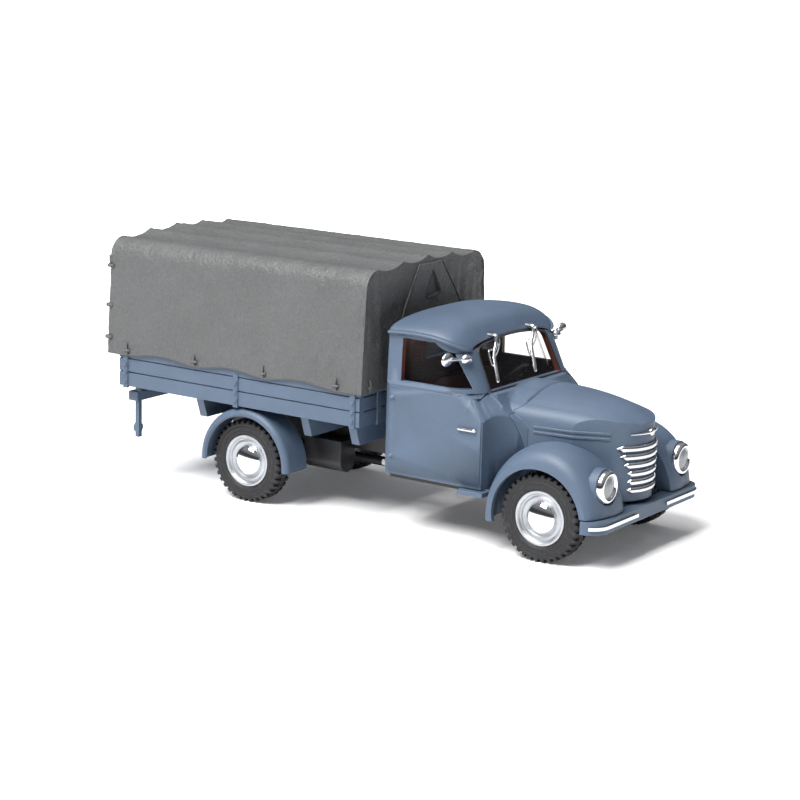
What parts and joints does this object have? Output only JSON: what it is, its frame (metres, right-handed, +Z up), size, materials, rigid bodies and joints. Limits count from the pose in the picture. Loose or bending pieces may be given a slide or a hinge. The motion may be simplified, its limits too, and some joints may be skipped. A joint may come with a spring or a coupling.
{
  "type": "delivery lorry model",
  "caption": "Plastic scale model of a bonneted delivery lorry with a tarpaulin tilt over its drop-side bed, rolling on steel axle pins",
  "frame": {"origin": "on the floor under the middle of the whole model", "axes": "+Z up, +X to the lorry's left side, the front points to -Y"},
  "size_m": [0.0208, 0.0546, 0.024],
  "materials": {
    "blue_plastic": "matt moulded plastic",
    "black_plastic": "matt moulded plastic",
    "dark_plastic": "matt moulded plastic",
    "tyre_rubber": "matt soft plastic",
    "silver_plastic": "silver painted plastic",
    "steel_pin": "bright drawn steel",
    "chrome_plated": "vacuum plated plastic",
    "clear_plastic": "clear moulded plastic",
    "tilt_plastic": "fine grained matt plastic",
    "brown_plastic": "matt moulded plastic"
  },
  "bodies": {
    "lorry_body": {"bed_floor": "blue_plastic", "bed_headboard": "blue_plastic", "bed_side_left": "blue_plastic", "bed_side_right": "blue_plastic", "bed_tailgate": "blue_plastic", "bonnet": "blue_plastic", "bumper_strip_left": "chrome_plated", "bumper_strip_right": "chrome_plated", "cab_glazing": "clear_plastic", "cab_interior": "brown_plastic", "cab_shell": "blue_plastic", "chassis_frame": "black_plastic", "dashboard": "dark_plastic", "door_handle_left": "silver_plastic", "door_handle_right": "silver_plastic", "exhaust_pipe": "silver_plastic", "front_bumper": "blue_plastic", "fuel_tank": "black_plastic", "grille_bars": "chrome_plated", "headlamp_lens_left": "clear_plastic", "headlamp_lens_right": "clear_plastic", "headlamp_rim_left": "chrome_plated", "headlamp_rim_right": "chrome_plated", "mirror_left": "chrome_plated", "mirror_right": "chrome_plated", "nose_trim": "chrome_plated", "rear_guard_left": "blue_plastic", "rear_guard_right": "blue_plastic", "steering_wheel": "black_plastic", "tail_bar": "blue_plastic", "tilt": "tilt_plastic", "wing_left": "blue_plastic", "wing_right": "blue_plastic", "wiper_left": "chrome_plated", "wiper_right": "chrome_plated"},
    "front_wheelset": {"front_axle": "steel_pin", "tyre_front_left": "tyre_rubber", "tyre_front_right": "tyre_rubber", "wheel_front_left": "silver_plastic", "wheel_front_right": "silver_plastic"},
    "rear_wheelset": {"rear_axle": "steel_pin", "tyre_rear_left": "tyre_rubber", "tyre_rear_right": "tyre_rubber", "wheel_rear_left": "silver_plastic", "wheel_rear_right": "silver_plastic"}
  },
  "joints": [
    {"name": "front_wheels_roll", "type": "hinge", "parent": "lorry_body", "child": "front_wheelset", "pos_m": [0, -0.02106, 0.00396], "axis": [1, 0, 0], "continuous": true},
    {"name": "rear_wheels_roll", "type": "hinge", "parent": "lorry_body", "child": "rear_wheelset", "pos_m": [0, 0.01114, 0.00396], "axis": [1, 0, 0], "continuous": true}
  ]
}
